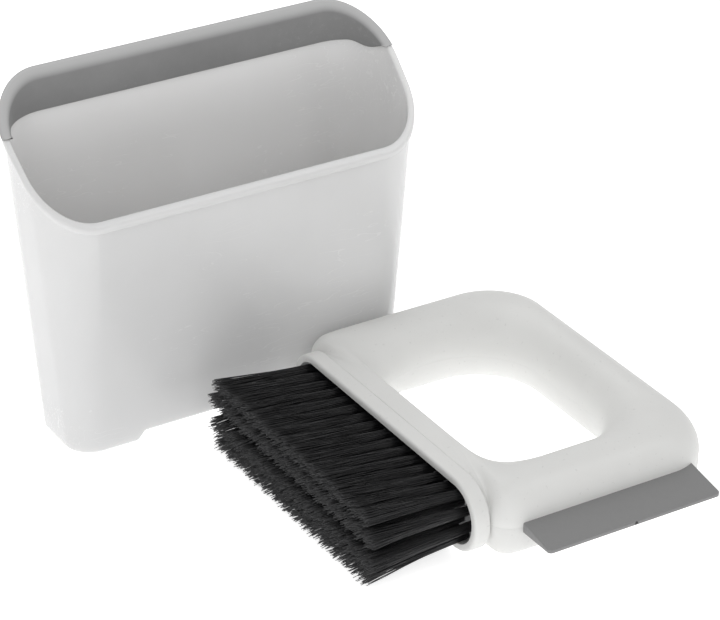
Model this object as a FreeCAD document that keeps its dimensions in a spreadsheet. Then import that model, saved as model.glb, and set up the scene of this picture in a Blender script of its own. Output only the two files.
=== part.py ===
import FreeCAD, Part
import math
import os

import Sketcher
from FreeCAD import Placement, Rotation, Vector

# Countertop dustpan bin with a hand brush lying beside it.  Millimetres, +Z up.
# The bin stands on its two feet with its tall lip side at the back (+Y).  The brush lies flat on
# the same surface in front of it, bristles towards -X, squeegee towards -Y.
# The origin is the bottom centre of the whole set's box.

doc = FreeCAD.newDocument("dustpan_set")
sheet = doc.addObject("Spreadsheet::Sheet", "dims")

DIMENSIONS = [
    # bin walls: two rounded rectangles, one on the floor and one above the mouth
    ("foot_half_width", 82.8),
    ("foot_half_depth", 21.2),
    ("foot_corner", 12.5),
    ("foot_centre", -0.5),
    ("crown_level", 170),
    ("crown_half_width", 97.3),
    ("crown_half_depth", 32.2),
    ("crown_corner", 28),
    ("crown_centre", -1.75),
    ("bin_wall", 2.0),
    ("bin_floor", 2.2),
    # mouth: a plane that climbs towards the back
    ("mouth_level", 139.5),
    ("mouth_slope", 0.808),
    ("bead_height", 3.4),
    ("bead_out", 1.2),
    # raised middle of the bin's floor, which leaves a foot at each end
    ("arch_height", 4.3),
    ("arch_half_width", 53.4),
    ("arch_step", 4.6),
    # soft lip over the back of the mouth
    ("lip_level", 146),
    ("lip_rise", 0.4),
    ("lip_drop", 3.4),
    ("lip_out", 1.4),
    ("lip_core", 1.2),
    ("lip_skin", 2.0),
    # loop handle, two shells that meet at mid height
    ("loop_front", -51),
    ("loop_back", 61.5),
    ("loop_half_length", 82.5),
    ("loop_height", 36),
    ("loop_corner", 24),
    ("loop_front_corner", 12),
    ("loop_round", 13),
    ("loop_wall", 2.2),
    ("hole_front", -40),
    ("hole_back", 36),
    ("hole_half_length", 52.5),
    ("hole_corner", 34),
    ("hole_round", 8),
    ("post_radius", 4),
    ("pin_radius", 1.9),
    ("socket_radius", 2.0),
    ("pin_length", 7),
    ("post_near", 67.5),
    ("post_side", 22),
    ("post_back", 47.5),
    # frame that holds the tuft block on the front of the loop
    ("frame_front", -58.5),
    ("frame_half_length", 75),
    ("frame_half_height", 17),
    ("frame_band", 3.6),
    ("frame_round", 2.8),
    ("spigot_inset", 2.0),
    ("spigot_depth", 3.4),
    # tuft block and tufts
    ("block_front", -53.5),
    ("block_depth", 9.5),
    ("tuft_pitch", 8.1),
    ("tuft_hole", 2.25),
    ("tuft_root", 2.0),
    ("tuft_tip", 3.4),
    ("tuft_depth", 6),
    ("tuft_free", 51.5),
    ("row_inner", 4.05),
    ("row_outer", 9.85),
    ("lean_top", 5.2),
    ("lean_upper", 2.0),
    ("lean_lower", -2.4),
    ("lean_bottom", -4.6),
    ("anchor_width", 3.6),
    ("anchor_wire", 0.4),
    ("anchor_depth", 1.2),
    # squeegee blade
    ("blade_left", -40),
    ("blade_length", 87),
    ("blade_reach", 101.5),
    ("blade_root_top", 20.5),
    ("blade_root_bottom", 15.5),
    ("blade_tip_top", 17.2),
    ("blade_tip_bottom", 15.6),
    ("tongue_half", 1.5),
    ("tongue_end", 75),
    ("rib_start", 79.8),
    ("rib_half", 2.6),
    ("rib_length", 76),
    # play between two pieces that fit together, and how far a cut runs past what it cuts
    ("seat_gap", 0.2),
    ("cut_past", 1),
    # where the two things stand
    ("brush_ahead", -108.5),
    ("brush_aside", 77.9),
    ("set_x", 0),
    ("set_y", 0),
]

FAR = 150.0
BRISTLE_COUNTS = {"top": 16, "upper": 17, "lower": 17, "bottom": 16}


def fill_sheet():
    for row, (alias, value) in enumerate(DIMENSIONS, start=1):
        sheet.set(f"A{row}", alias.replace("_", " "))
        sheet.set(f"B{row}", str(value))
        sheet.setAlias(f"B{row}", alias)
    doc.recompute()


def value(expression):
    """The number that an expression in the sheet's aliases has now."""
    return float(sheet.evalExpression(expression))


def cells(expression):
    """The same expression as seen from another object: every alias gets the sheet's name."""
    words = []
    word = ""
    for sign in expression + " ":
        if sign.isalnum() or sign in "_.":
            word += sign
            continue
        is_alias = word and word[0].isalpha() and word not in ("cos", "sin")
        words.append(f"dims.{word}" if is_alias else word)
        words.append(sign)
        word = ""
    return "".join(words).strip()


def bind(thing, prop, expression):
    thing.setExpression(prop, cells(expression))


# ---------------------------------------------------------------- sketches


def dimension(sketch, kind, place, expression):
    """A sketch dimension bound to an expression."""
    index = sketch.addConstraint(Sketcher.Constraint(kind, *place, value(expression)))
    bind(sketch, f"Constraints[{index}]", expression)


def outline(sketch, corners):
    """A closed counter-clockwise outline.  Each corner is (x, y, radius of the arc to the next
    corner, or None for a straight run); all three are expressions in the sheet's aliases.  A
    radius with a minus sign is a hollow arc, which bends the other way.  A half circle is held by
    its centre, because its radius alone can't hold it."""
    first = sketch.GeometryCount
    count = len(corners)
    points = [Vector(value(x), value(y), 0) for x, y, _ in corners]
    for i, (_, _, radius) in enumerate(corners):
        start = points[i]
        end = points[(i + 1) % count]
        if radius is None:
            sketch.addGeometry(Part.LineSegment(start, end), False)
            continue
        size = abs(value(radius))
        hollow = value(radius) < 0
        chord = end - start
        rise = math.sqrt(max(size * size - chord.Length ** 2 / 4, 0))
        left = Vector(-chord.y, chord.x, 0).normalize()
        centre = (start + end) * 0.5 + left * (-rise if hollow else rise)
        ends = (end, start) if hollow else (start, end)
        angles = [math.atan2(p.y - centre.y, p.x - centre.x) for p in ends]
        circle = Part.Circle(centre, Vector(0, 0, 1), size)
        sketch.addGeometry(Part.ArcOfCircle(circle, *angles), False)
    hollow = [radius is not None and value(radius) < 0 for _, _, radius in corners]
    for i, (x, y, radius) in enumerate(corners):
        here = first + i
        following = (i + 1) % count
        start = 2 if hollow[i] else 1
        next_start = 2 if hollow[following] else 1
        joint = (here, 3 - start, first + following, next_start)
        sketch.addConstraint(Sketcher.Constraint("Coincident", *joint))
        dimension(sketch, "DistanceX", (-1, 1, here, start), x)
        dimension(sketch, "DistanceY", (-1, 1, here, start), y)
        if radius is None:
            continue
        chord = points[i].distanceToPoint(points[following])
        if abs(chord - 2 * value(radius)) < 0.001:
            dimension(sketch, "DistanceX", (-1, 1, here, 3), x)
        else:
            dimension(sketch, "Radius", (here,), f"-({radius})" if hollow[i] else radius)


def rounded(sketch, left, right, low, high, corner):
    """A rounded rectangle between four expressions."""
    outline(sketch, [
        (f"{left} + {corner}", low, None),
        (f"{right} - ({corner})", low, corner),
        (right, f"{low} + {corner}", None),
        (right, f"{high} - ({corner})", corner),
        (f"{right} - ({corner})", high, None),
        (f"{left} + {corner}", high, corner),
        (left, f"{high} - ({corner})", None),
        (left, f"{low} + {corner}", corner),
    ])


def stadium(sketch, half_length, half_height, level):
    """A flat oval along the sketch's first axis, centred on level."""
    run = f"({half_length}) - ({half_height})"
    low = f"({level}) - ({half_height})"
    high = f"({level}) + ({half_height})"
    outline(sketch, [
        (f"-({run})", low, None),
        (run, low, half_height),
        (run, high, None),
        (f"-({run})", high, half_height),
    ])


def circles(sketch, places, radius):
    for x, y in places:
        circle = Part.Circle(Vector(value(x), value(y), 0), Vector(0, 0, 1), value(radius))
        here = sketch.addGeometry(circle, False)
        dimension(sketch, "DistanceX", (-1, 1, here, 3), x)
        dimension(sketch, "DistanceY", (-1, 1, here, 3), y)
        dimension(sketch, "Radius", (here,), radius)


def plane_of(body, role):
    return next(item for item in body.Origin.OriginFeatures if item.Role == role)


def sketch_on(body, role, name, level):
    sketch = body.newObject("Sketcher::SketchObject", name)
    sketch.AttachmentSupport = [(plane_of(body, role), "")]
    sketch.MapMode = "FlatFace"
    bind(sketch, "AttachmentOffset.Base.z", level)
    return sketch


def grow(body, kind, name, sketch, length, reverse=False):
    """A Pad or a Pocket of a bound length; reverse turns it against its usual way."""
    feature = body.newObject(f"PartDesign::{kind}", name)
    feature.Profile = sketch
    feature.Reversed = reverse
    bind(feature, "Length", length)
    doc.recompute()
    return feature


def round_edges(body, name, base, radius, wanted):
    edges = [f"Edge{i}" for i, edge in enumerate(base.Shape.Edges, start=1) if wanted(edge)]
    fillet = body.newObject("PartDesign::Fillet", name)
    fillet.Base = (base, edges)
    bind(fillet, "Radius", radius)
    doc.recompute()
    return fillet


# ---------------------------------------------------------------- bin


def bin_loft(name, outward, floor_level="0"):
    """The bin's tapered form, grown outward by an expression and started at a floor level."""
    sections = []
    for part, level in (("foot", floor_level), ("crown", "crown_level")):
        sketch = doc.addObject("Sketcher::SketchObject", f"{name}_{part}")
        bind(sketch, "Placement.Base.z", level)
        wide = f"{part}_half_width + {outward}"
        deep = f"{part}_half_depth + {outward}"
        centre = f"{part}_centre"
        corner = f"({part}_corner + {outward})"
        rounded(sketch, f"-({wide})", wide, f"{centre} - ({deep})", f"{centre} + {deep}", corner)
        sections.append(sketch)
    loft = doc.addObject("Part::Loft", name)
    loft.Sections = sections
    loft.Solid = True
    loft.Ruled = True
    return loft


def slanted_block(name, low, high):
    """Everything between two levels measured along the mouth plane; None is far below."""
    block = doc.addObject("Part::Wedge", name)
    for prop, number in (("Xmin", -FAR), ("X2min", -FAR), ("Xmax", FAR), ("X2max", FAR)):
        setattr(block, prop, number)
    block.Ymin = -FAR
    block.Ymax = FAR
    climb = f"{FAR} * mouth_slope"
    for end, sign in (("Z", "-"), ("Z2", "+")):
        bind(block, f"{end}max", f"mouth_level {sign} {climb} + {high}")
        bottom = f"-2 * {climb}" if low is None else f"mouth_level {sign} {climb} + {low}"
        bind(block, f"{end}min", bottom)
    return block


def above_lip_level(name):
    block = doc.addObject("Part::Box", name)
    block.Length = 2 * FAR
    block.Width = 2 * FAR
    block.Height = FAR
    block.Placement.Base = Vector(-FAR, -FAR, 0)
    bind(block, "Placement.Base.z", "lip_level")
    return block


def arch_prism(name, low, high, half_width, narrowing):
    """A bar along Y with a trapezoid section, wide at low and narrower at high."""
    prism = doc.addObject("Part::Wedge", name)
    prism.Placement = Placement(Vector(0, 0, 0), Rotation(Vector(1, 0, 0), 90))
    prism.Zmin = prism.Z2min = -FAR
    prism.Zmax = prism.Z2max = FAR
    bind(prism, "Ymin", low)
    bind(prism, "Ymax", high)
    bind(prism, "Xmin", f"-({half_width})")
    bind(prism, "Xmax", half_width)
    bind(prism, "X2min", f"-({half_width} - ({narrowing}))")
    bind(prism, "X2max", f"{half_width} - ({narrowing})")
    return prism


def combine(kind, name, *items):
    """A Part boolean: Cut takes two items, Common and Fuse take two or more."""
    if kind == "Cut":
        result = doc.addObject("Part::Cut", name)
        result.Base, result.Tool = items
    else:
        result = doc.addObject(f"Part::Multi{kind}", name)
        result.Shapes = list(items)
    return result


def make_bin():
    wall = bin_loft("wall_form", "0")
    bead = bin_loft("bead_form", "bead_out")
    space = bin_loft("space_form", "(0 - bin_wall)", "bin_floor")
    lip_outer = bin_loft("lip_outer_form", "lip_out")
    lip_middle = bin_loft("lip_middle_form", "(0 - lip_core)")
    lip_space = bin_loft("lip_space_form", "(0 - lip_core - lip_skin)")

    below_mouth = slanted_block("below_mouth", None, "0")
    bead_slab = slanted_block("bead_slab", "(0 - bead_height)", "0")
    lip_slab = slanted_block("lip_slab", "(0 - lip_drop)", "lip_rise")

    walls = combine("Common", "walls", wall, below_mouth)
    rim_bead = combine("Common", "rim_bead", bead, bead_slab)
    blank = combine("Fuse", "bin_blank", walls, rim_bead)
    floor_arch = arch_prism("floor_arch", "0", "arch_height + bin_floor",
                            "arch_half_width + bin_floor", "arch_step")
    space_above_floor = combine("Cut", "space_above_floor", space, floor_arch)
    hollow = combine("Cut", "hollow_bin", blank, space_above_floor)
    under_arch = arch_prism("under_arch", "-arch_height", "arch_height",
                            "arch_half_width + arch_step", "2 * arch_step")
    footed = combine("Cut", "footed_bin", hollow, under_arch)

    lip_band = combine("Common", "lip_band", lip_outer, lip_slab, above_lip_level("band_zone"))
    lip_sheet = combine("Common", "lip_sheet", lip_middle, below_mouth, above_lip_level("sheet_zone"))
    lip_blank = combine("Fuse", "lip_blank", lip_band, lip_sheet)
    lip_seat = combine("Cut", "lip_seat", lip_blank, lip_space)
    shell = combine("Cut", "bin_shell", footed, lip_seat)
    lip = combine("Cut", "pan_lip", lip_blank, lip_space)
    doc.recompute()
    return [shell, lip]


# ---------------------------------------------------------------- loop handle

MIDDLE = "loop_height / 2"


def handle_shell(name, up):
    """Half of the hollow loop: up is True for the top shell, False for the bottom one."""
    body = doc.addObject("PartDesign::Body", name)
    outside = "loop_height" if up else "0"
    skin = value(outside)
    front = value("loop_front")

    plan = sketch_on(body, "XY_Plane", f"{name}_plan", MIDDLE)
    length = "loop_half_length"
    outline(plan, [
        ("loop_front", f"-{length}", None),
        ("loop_back - loop_corner", f"-{length}", "loop_corner"),
        ("loop_back", f"-{length} + loop_corner", None),
        ("loop_back", f"{length} - loop_corner", "loop_corner"),
        ("loop_back - loop_corner", length, None),
        ("loop_front", length, None),
    ])
    slab = grow(body, "Pad", f"{name}_slab", plan, MIDDLE, reverse=not up)

    def outer_edge(edge):
        middle = edge.valueAt((edge.FirstParameter + edge.LastParameter) / 2)
        return abs(middle.z - skin) < 0.01 and middle.x > front + 0.5

    rounded_slab = round_edges(body, f"{name}_outer_round", slab, "loop_round", outer_edge)

    trim = sketch_on(body, "XY_Plane", f"{name}_corner_trim", MIDDLE)
    past = "loop_half_length + cut_past"
    ahead = "loop_front - cut_past"
    turn = "loop_half_length - loop_front_corner"
    inner = "loop_front + loop_front_corner"
    outline(trim, [
        (ahead, f"-({turn})", None),
        (ahead, f"-({past})", None),
        (inner, f"-({past})", None),
        (inner, "-loop_half_length", "-loop_front_corner"),
        ("loop_front", f"-({turn})", None),
    ])
    outline(trim, [
        (ahead, past, None),
        (ahead, turn, None),
        ("loop_front", turn, "-loop_front_corner"),
        (inner, "loop_half_length", None),
        (inner, past, None),
    ])
    grow(body, "Pocket", f"{name}_corners", trim, MIDDLE, reverse=up)

    hole = sketch_on(body, "XY_Plane", f"{name}_hole_plan", MIDDLE)
    rounded(hole, "hole_front", "hole_back", "-hole_half_length", "hole_half_length", "hole_corner")
    holed = grow(body, "Pocket", f"{name}_hole", hole, MIDDLE, reverse=up)

    def hole_edge(edge):
        box = edge.BoundBox
        at_skin = abs(box.ZMin - skin) < 0.01 and abs(box.ZMax - skin) < 0.01
        within = box.XMin > value("hole_front") - 0.1 and box.XMax < value("hole_back") + 0.1
        return at_skin and within and abs(box.YMax) < value("hole_half_length") + 0.1

    eased = round_edges(body, f"{name}_hole_round", holed, "hole_round", hole_edge)

    parting = next(f"Face{i}" for i, face in enumerate(eased.Shape.Faces, start=1)
                   if abs(face.BoundBox.ZMax - face.BoundBox.ZMin) < 0.01
                   and abs(face.BoundBox.ZMax - value(MIDDLE)) < 0.01)
    thin = body.newObject("PartDesign::Thickness", f"{name}_thin")
    thin.Base = (eased, [parting])
    thin.Reversed = True
    bind(thin, "Value", "loop_wall")
    doc.recompute()

    seat = sketch_on(body, "YZ_Plane", f"{name}_frame_seat", "loop_front - cut_past")
    stadium(seat, "frame_half_length - spigot_inset + seat_gap",
            "frame_half_height - spigot_inset + seat_gap", MIDDLE)
    grow(body, "Pocket", f"{name}_frame_opening", seat, "spigot_depth + 2 * cut_past", reverse=True)

    slot = sketch_on(body, "XY_Plane", f"{name}_blade_slot_plan", MIDDLE)
    outline(slot, [
        ("blade_left - seat_gap", "-loop_half_length - cut_past", None),
        ("blade_left + blade_length + seat_gap", "-loop_half_length - cut_past", None),
        ("blade_left + blade_length + seat_gap", "-rib_start", None),
        ("blade_left - seat_gap", "-rib_start", None),
    ])
    grow(body, "Pocket", f"{name}_blade_slot", slot, "tongue_half", reverse=up)

    places = [("post_back", "post_side"), ("post_back", "-post_side")]
    places += [(x, y) for x in ("-post_side", "post_side") for y in ("post_near", "-post_near")]
    posts = sketch_on(body, "XY_Plane", f"{name}_post_plan", MIDDLE)
    circles(posts, places, "post_radius")
    grow(body, "Pad", f"{name}_posts", posts, f"{MIDDLE} - loop_wall / 2", reverse=not up)
    pins = sketch_on(body, "XY_Plane", f"{name}_pin_plan", MIDDLE)
    if up:
        circles(pins, places, "socket_radius")
        grow(body, "Pocket", f"{name}_sockets", pins, "pin_length + cut_past", reverse=True)
    else:
        circles(pins, places, "pin_radius")
        grow(body, "Pad", f"{name}_pins", pins, "pin_length")
    return body


# ---------------------------------------------------------------- bristle head


def head_frame():
    body = doc.addObject("PartDesign::Body", "head_frame")
    inner = ("frame_half_length - frame_band", "frame_half_height - frame_band", MIDDLE)
    spigot = ("frame_half_length - spigot_inset", "frame_half_height - spigot_inset", MIDDLE)
    flange_plan = sketch_on(body, "YZ_Plane", "frame_plan", "frame_front")
    stadium(flange_plan, "frame_half_length", "frame_half_height", MIDDLE)
    flange = grow(body, "Pad", "frame_flange", flange_plan, "loop_front - frame_front")

    def front_edge(edge):
        return edge.BoundBox.XMax < value("frame_front") + 0.01

    round_edges(body, "frame_front_round", flange, "frame_round", front_edge)
    spigot_plan = sketch_on(body, "YZ_Plane", "spigot_plan", "loop_front")
    stadium(spigot_plan, *spigot)
    grow(body, "Pad", "frame_spigot", spigot_plan, "spigot_depth")
    opening = sketch_on(body, "YZ_Plane", "frame_opening_plan", "frame_front - cut_past")
    stadium(opening, *inner)
    grow(body, "Pocket", "frame_opening", opening,
         "loop_front - frame_front + spigot_depth + 2 * cut_past", reverse=True)
    return body


ROWS = [
    ("top", "row_outer", "lean_top"),
    ("upper", "row_inner", "lean_upper"),
    ("lower", "-row_inner", "lean_lower"),
    ("bottom", "-row_outer", "lean_bottom"),
]


def aim(thing, lean, depth, along, level):
    """Turns a thing's Z axis to point out of the block, leaned up by lean, and starts it at a
    depth behind the block's face on the tuft's own line."""
    thing.Placement = Placement(Vector(0, 0, 0), Rotation(Vector(0, 1, 0), -90))
    bind(thing, "Placement.Rotation.Angle", f"{lean} - 90")
    bind(thing, "Placement.Base.x", f"block_front + ({depth}) * cos({lean})")
    bind(thing, "Placement.Base.y", along)
    bind(thing, "Placement.Base.z", f"{MIDDLE} + {level} - ({depth}) * sin({lean})")


def bristles_and_block():
    rows = []
    drills = []
    anchors = []
    for row, level, lean in ROWS:
        count = BRISTLE_COUNTS[row]
        tufts = []
        for i in range(count):
            along = f"tuft_pitch * {i - (count - 1) / 2}"
            tuft = doc.addObject("Part::Cone", f"tuft_{row}_{i + 1}")
            bind(tuft, "Radius1", "tuft_root")
            bind(tuft, "Radius2", "tuft_tip")
            bind(tuft, "Height", "tuft_depth + tuft_free")
            aim(tuft, lean, "tuft_depth", along, level)
            tufts.append(tuft)

            drill = doc.addObject("Part::Cylinder", f"drill_{row}_{i + 1}")
            bind(drill, "Radius", "tuft_hole")
            bind(drill, "Height", "tuft_depth + anchor_depth + seat_gap + cut_past")
            aim(drill, lean, "tuft_depth + anchor_depth + seat_gap", along, level)
            drills.append(drill)

            anchor = doc.addObject("Part::Box", f"anchor_{row}_{i + 1}")
            bind(anchor, "Length", "anchor_wire")
            bind(anchor, "Width", "anchor_width")
            bind(anchor, "Height", "anchor_depth")
            depth = "tuft_depth + anchor_depth + seat_gap / 2"
            aim(anchor, lean, depth, f"{along} - anchor_width / 2", level)
            anchors.append(anchor)
        group = doc.addObject("Part::Compound", f"tufts_{row}_row")
        group.Links = tufts
        rows.append(group)

    body = doc.addObject("PartDesign::Body", "block_blank")
    plan = sketch_on(body, "YZ_Plane", "block_plan", "block_front")
    stadium(plan, "frame_half_length - frame_band - seat_gap",
            "frame_half_height - frame_band - seat_gap", MIDDLE)
    grow(body, "Pad", "block_slab", plan, "block_depth")
    holes = doc.addObject("Part::Compound", "tuft_holes")
    holes.Links = drills
    block = combine("Cut", "tuft_block", body, holes)
    staples = doc.addObject("Part::Compound", "tuft_anchors")
    staples.Links = anchors
    doc.recompute()
    return [block, staples] + rows


def squeegee():
    body = doc.addObject("PartDesign::Body", "squeegee_blade")
    profile = sketch_on(body, "YZ_Plane", "blade_profile", "blade_left")
    shoulder = "-(loop_half_length + seat_gap / 2)"
    low = f"{MIDDLE} - tongue_half + seat_gap / 2"
    high = f"{MIDDLE} + tongue_half - seat_gap / 2"
    outline(profile, [
        ("-blade_reach", "blade_tip_bottom", None),
        (shoulder, "blade_root_bottom", None),
        (shoulder, low, None),
        ("-rib_start", low, None),
        ("-rib_start", high, None),
        (shoulder, high, None),
        (shoulder, "blade_root_top", None),
        ("-blade_reach", "blade_tip_top", None),
    ])
    grow(body, "Pad", "blade_run", profile, "blade_length")

    rib = sketch_on(body, "YZ_Plane", "rib_profile", "blade_left")
    outline(rib, [
        ("-rib_start", f"{MIDDLE} - rib_half", None),
        ("-tongue_end", f"{MIDDLE} - rib_half", None),
        ("-tongue_end", f"{MIDDLE} + rib_half", None),
        ("-rib_start", f"{MIDDLE} + rib_half", None),
    ])
    grow(body, "Pad", "rib_run", rib, "rib_length")
    return body


# ---------------------------------------------------------------- the set


def place_set(bin_parts, brush_parts):
    """Bin and brush stand side by side, and the whole set is centred on the origin."""
    for thing in bin_parts:
        bind(thing, "Placement.Base.x", "set_x")
        bind(thing, "Placement.Base.y", "set_y")
    for thing in brush_parts:
        bind(thing, "Placement.Base.x", "set_x + brush_aside")
        bind(thing, "Placement.Base.y", "set_y + brush_ahead")
    doc.recompute()
    box = Part.makeCompound([thing.Shape for thing in bin_parts + brush_parts])
    box = box.optimalBoundingBox()
    for alias, middle in (("set_x", box.Center.x), ("set_y", box.Center.y)):
        sheet.set(sheet.getCellFromAlias(alias), str(round(-middle, 4)))
    doc.recompute()


def check(parts):
    for thing in doc.Objects:
        if "Invalid" in thing.State or "Error" in thing.State:
            raise RuntimeError(f"{thing.Name} did not build: {thing.State}")
    for thing in parts:
        if thing.Shape.isNull() or not thing.Shape.isValid():
            raise RuntimeError(f"{thing.Name} has no valid shape")


def export(parts):
    os.makedirs("parts", exist_ok=True)
    for thing in parts:
        thing.Label = thing.Name
        thing.Shape.exportStep(os.path.join("parts", thing.Label + ".step"))
        box = thing.Shape.optimalBoundingBox()
        print(f"{thing.Label}: {len(thing.Shape.Solids)} solids, {thing.Shape.Volume / 1000:.1f} cm3,",
              f"x {box.XMin:.1f} {box.XMax:.1f}, y {box.YMin:.1f} {box.YMax:.1f},",
              f"z {box.ZMin:.1f} {box.ZMax:.1f}")


def main():
    fill_sheet()
    bin_parts = make_bin()
    brush_parts = [handle_shell("handle_top_shell", True), handle_shell("handle_bottom_shell", False)]
    brush_parts += [head_frame()] + bristles_and_block() + [squeegee()]
    place_set(bin_parts, brush_parts)
    check(bin_parts + brush_parts)
    export(bin_parts + brush_parts)


main()
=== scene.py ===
import math
import random

import bmesh
import bpy
from bpy.props import FloatProperty, FloatVectorProperty, IntProperty, PointerProperty
from mathutils import Matrix, Vector


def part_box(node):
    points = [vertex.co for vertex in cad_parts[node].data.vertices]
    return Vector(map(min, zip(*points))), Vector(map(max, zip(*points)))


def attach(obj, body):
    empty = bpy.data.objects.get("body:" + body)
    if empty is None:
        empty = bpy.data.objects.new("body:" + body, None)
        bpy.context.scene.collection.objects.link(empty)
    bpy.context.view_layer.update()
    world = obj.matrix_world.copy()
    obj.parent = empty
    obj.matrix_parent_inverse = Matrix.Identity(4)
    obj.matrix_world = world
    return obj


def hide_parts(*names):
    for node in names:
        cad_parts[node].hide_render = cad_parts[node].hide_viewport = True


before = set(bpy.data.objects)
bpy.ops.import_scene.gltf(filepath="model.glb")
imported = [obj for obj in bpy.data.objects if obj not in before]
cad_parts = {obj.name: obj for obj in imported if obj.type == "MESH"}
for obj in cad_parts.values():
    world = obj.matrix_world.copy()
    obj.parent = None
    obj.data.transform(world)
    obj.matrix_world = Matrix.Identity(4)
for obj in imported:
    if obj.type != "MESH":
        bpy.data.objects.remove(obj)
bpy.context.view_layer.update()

bl_info = {
    "name": "Dustpan set",
    "version": (1, 0, 0),
    "blender": (4, 5, 0),
    "location": "3D View > Sidebar > Dustpan set",
    "description": "Builds the looks of a countertop dustpan bin and its hand brush",
    "category": "Object",
}


def middle(node, axis):
    """The middle of a CAD node's box along an axis."""
    low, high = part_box(node)
    return (low[axis] + high[axis]) / 2


# ---------------------------------------------------------------- sizes and colours


def size(name, description, default):
    """A length in metres."""
    return FloatProperty(name=name, description=description, default=default, unit="LENGTH")


def colour(name, description, default):
    return FloatVectorProperty(name=name, description=description, default=default,
                               subtype="COLOR", size=3, min=0.0, max=1.0)


class BinSizes(bpy.types.PropertyGroup):
    """The tapered bin, its slanted mouth and the soft lip over the back of it."""
    foot_half_width: size("Foot half width", "Half the width on the table", 0.0828)
    foot_half_depth: size("Foot half depth", "Half the depth on the table", 0.0212)
    foot_corner: size("Foot corner", "Corner radius on the table", 0.0125)
    foot_centre: size("Foot centre", "Middle of the foot, front to back", -0.0005)
    crown_level: size("Crown level", "Height where the crown sizes hold", 0.170)
    crown_half_width: size("Crown half width", "Half the width at the crown level", 0.0973)
    crown_half_depth: size("Crown half depth", "Half the depth at the crown level", 0.0322)
    crown_corner: size("Crown corner", "Corner radius at the crown level", 0.028)
    crown_centre: size("Crown centre", "Middle of the crown, front to back", -0.00175)
    wall: size("Wall", "Thickness of the wall and the floor", 0.002)
    mouth_level: size("Mouth level", "Height of the mouth plane over the bin's middle", 0.1395)
    mouth_slope: FloatProperty(name="Mouth slope", description="Rise of the mouth per depth",
                               default=0.808)
    bead_height: size("Bead height", "Height of the rim bead", 0.0034)
    bead_out: size("Bead out", "How far the rim bead stands out", 0.0012)
    arch_height: size("Arch height", "How far the middle of the floor is raised", 0.0043)
    arch_half_width: size("Arch half width", "Half the width of the raised middle", 0.0534)
    arch_step: size("Arch step", "Width of the ramp between foot and arch", 0.0046)
    lip_level: size("Lip level", "Level where the soft lip ends", 0.146)
    lip_rise: size("Lip rise", "How far the lip stands over the rim", 0.0004)
    lip_drop: size("Lip drop", "How far the lip's flange hangs down outside", 0.0034)
    lip_out: size("Lip out", "How far the lip's flange stands out", 0.0014)
    lip_in: size("Lip in", "How far the lip's inner face stands in", 0.0032)
    colour: colour("Bin colour", "White polypropylene", (0.70, 0.70, 0.70))
    lip_colour: colour("Lip colour", "Grey soft elastomer", (0.235, 0.235, 0.235))


class BrushSizes(bpy.types.PropertyGroup):
    """The hand brush: loop handle, frame, tufts and squeegee blade, from its own middle."""
    ahead: size("Loop front", "Front face of the loop", -0.051)
    back: size("Loop back", "Back of the loop", 0.0615)
    half_length: size("Loop half length", "Half the length of the loop", 0.0825)
    height: size("Loop height", "Height of the loop", 0.036)
    corner: size("Loop corner", "Back corner radius", 0.024)
    front_corner: size("Loop front corner", "Front corner radius", 0.012)
    wall: size("Loop wall", "Wall of the hollow shells", 0.0022)
    hole_front: size("Hole front", "Front edge of the finger hole", -0.040)
    hole_back: size("Hole back", "Back edge of the finger hole", 0.036)
    hole_half_length: size("Hole half length", "Half the length of the finger hole", 0.0525)
    hole_corner: size("Hole corner", "Corner radius of the finger hole", 0.034)
    ridge: size("Ridge", "Line where the front bar's top slope starts", -0.0426)
    ridge_drop: size("Ridge drop", "How far the slope falls to the frame", 0.0017)
    seam: size("Seam", "Half width of the groove between the shells", 0.00035)
    frame_front: size("Frame front", "Front face of the bristle frame", -0.0585)
    frame_half_length: size("Frame half length", "Half the length of the frame", 0.075)
    frame_half_height: size("Frame half height", "Half the height of the frame", 0.017)
    frame_band: size("Frame band", "Width of the frame's band", 0.0036)
    frame_round: size("Frame round", "Rounding of the frame's front edge", 0.0028)
    block_front: size("Block front", "Face of the tuft block", -0.0535)
    blade_left: size("Blade left", "Left end of the squeegee", -0.040)
    blade_length: size("Blade length", "Length of the squeegee", 0.087)
    blade_reach: size("Blade reach", "Where the blade's thin edge is", 0.1015)
    blade_root_top: size("Blade root top", "Top of the blade at the handle", 0.0205)
    blade_root_bottom: size("Blade root bottom", "Underside at the handle", 0.0155)
    blade_tip_top: size("Blade tip top", "Top of the blade's thin edge", 0.0172)
    blade_tip_bottom: size("Blade tip bottom", "Underside of the thin edge", 0.0156)
    blade_end_round: size("Blade end round", "Rounding of the blade's outer corners", 0.0022)
    colour: colour("Handle colour", "Warm white plastic", (0.75, 0.75, 0.735))
    # The block's grey is darker than the handle: partly its own light grey, partly the shade of its recess
    # painted in.
    block_grey_and_shade: colour("Block colour", "Light grey plastic", (0.55, 0.55, 0.56))
    blade_colour: colour("Blade colour", "Grey soft elastomer", (0.235, 0.235, 0.235))


class TuftSizes(bpy.types.PropertyGroup):
    """The black nylon tufts."""
    pitch: size("Pitch", "Distance between tufts", 0.0081)
    inner_level: size("Inner rows", "Height of the inner rows off the middle", 0.00405)
    outer_level: size("Outer rows", "Height of the outer rows off the middle", 0.00985)
    free_length: size("Free length", "Length outside the block", 0.0515)
    root_radius: size("Root radius", "Radius of a tuft where it leaves the block", 0.0021)
    tip_spread: size("Tip spread", "Half width of a tuft's tip along the row", 0.0045)
    tip_rise: size("Tip rise", "Half height of a tuft's tip", 0.0037)
    fibre: size("Fibre", "Radius of one fibre", 0.00017)
    fibres: IntProperty(name="Fibres", description="Fibres in one tuft", default=104, min=8)
    strays: IntProperty(name="Strays", description="Bent fibres that stand off the rows", default=46)
    colour: colour("Bristle colour", "Black nylon", (0.012, 0.012, 0.013))
    tip_colour: colour("Cut end colour", "Scuffed cut ends", (0.060, 0.060, 0.062))


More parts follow.
